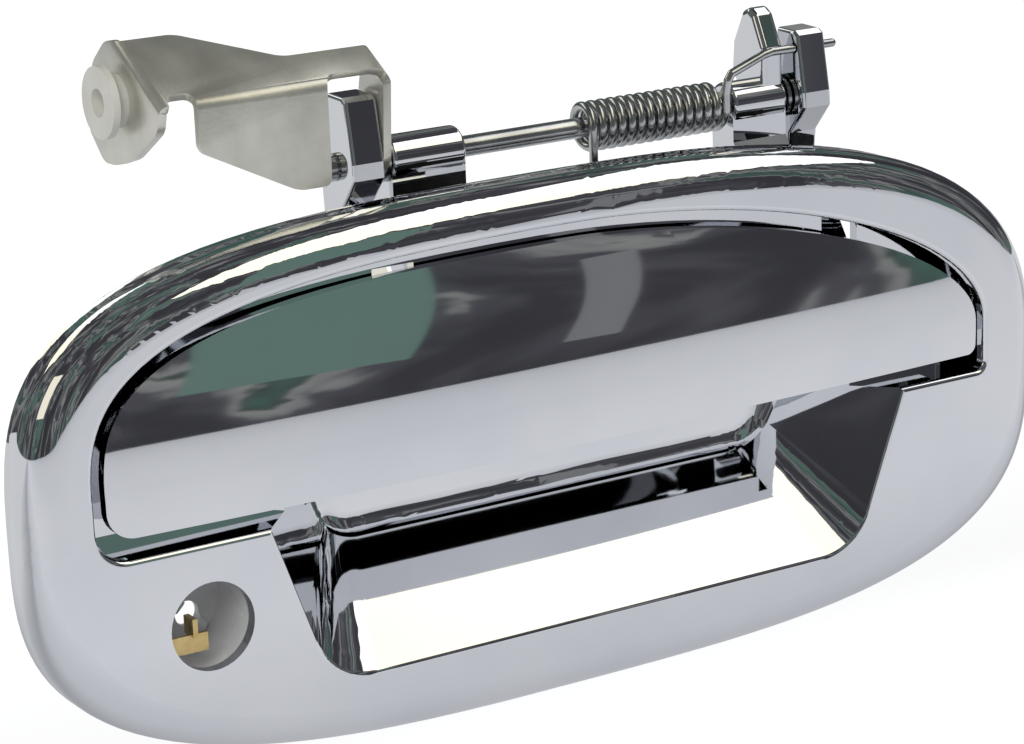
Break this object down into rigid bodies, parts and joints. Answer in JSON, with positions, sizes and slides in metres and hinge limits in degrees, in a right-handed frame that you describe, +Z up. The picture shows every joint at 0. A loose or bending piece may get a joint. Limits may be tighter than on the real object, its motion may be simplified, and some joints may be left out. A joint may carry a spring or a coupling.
{
  "type": "exterior car door handle",
  "caption": "Exterior car door handle: oval chrome bezel with a finger cup, a sprung lift paddle on a rod, and a stamped lever that pulls the latch rod.",
  "frame": {"origin": "centre of the oval bezel, on the plane of the door skin's outer face, midway between the two mounting studs", "axes": "+X along the handle, +Y into the door, +Z up"},
  "size_m": [0.226, 0.0461, 0.1316],
  "materials": {
    "chrome_plate": "polished",
    "zinc_steel": "satin",
    "bright_steel": "polished",
    "nylon_white": "satin",
    "plastic_grey": "matte",
    "brass": "satin",
    "rubber_black": "matte",
    "foam_black": "matte"
  },
  "bodies": {
    "housing": {"bezel_housing": "chrome_plate", "pivot_rod": "bright_steel", "rod_bushing_left": "nylon_white", "rod_bushing_right": "nylon_white", "thrust_washer_left": "nylon_white", "thrust_washer_right": "nylon_white", "rod_retainer": "zinc_steel", "torsion_spring": "bright_steel", "lock_guide": "plastic_grey", "lock_clip": "brass", "lock_seal": "rubber_black", "foam_gasket": "foam_black", "mounting_stud_left": "zinc_steel", "mounting_stud_right": "zinc_steel", "paddle_bumper_left": "rubber_black", "paddle_bumper_right": "rubber_black"},
    "paddle": {"paddle": "chrome_plate"},
    "lever": {"latch_lever": "zinc_steel", "latch_rod_bushing": "nylon_white"}
  },
  "joints": [
    {"name": "paddle_hinge", "type": "hinge", "parent": "housing", "child": "paddle", "pos_m": [0, 0.01, 0.0553], "axis": [1, 0, 0], "range_deg": [-10, 0], "stiffness_Nm_per_rad": 1.2, "springref_deg": 17.19, "deforming": ["torsion_spring"]},
    {"name": "lever_hinge", "type": "hinge", "parent": "housing", "child": "lever", "pos_m": [0, 0.01, 0.0553], "axis": [1, 0, 0], "range_deg": [-10, 0]}
  ],
  "couplings": [
    {"joint": "lever_hinge", "follows": "paddle_hinge", "ratio": 1}
  ]
}
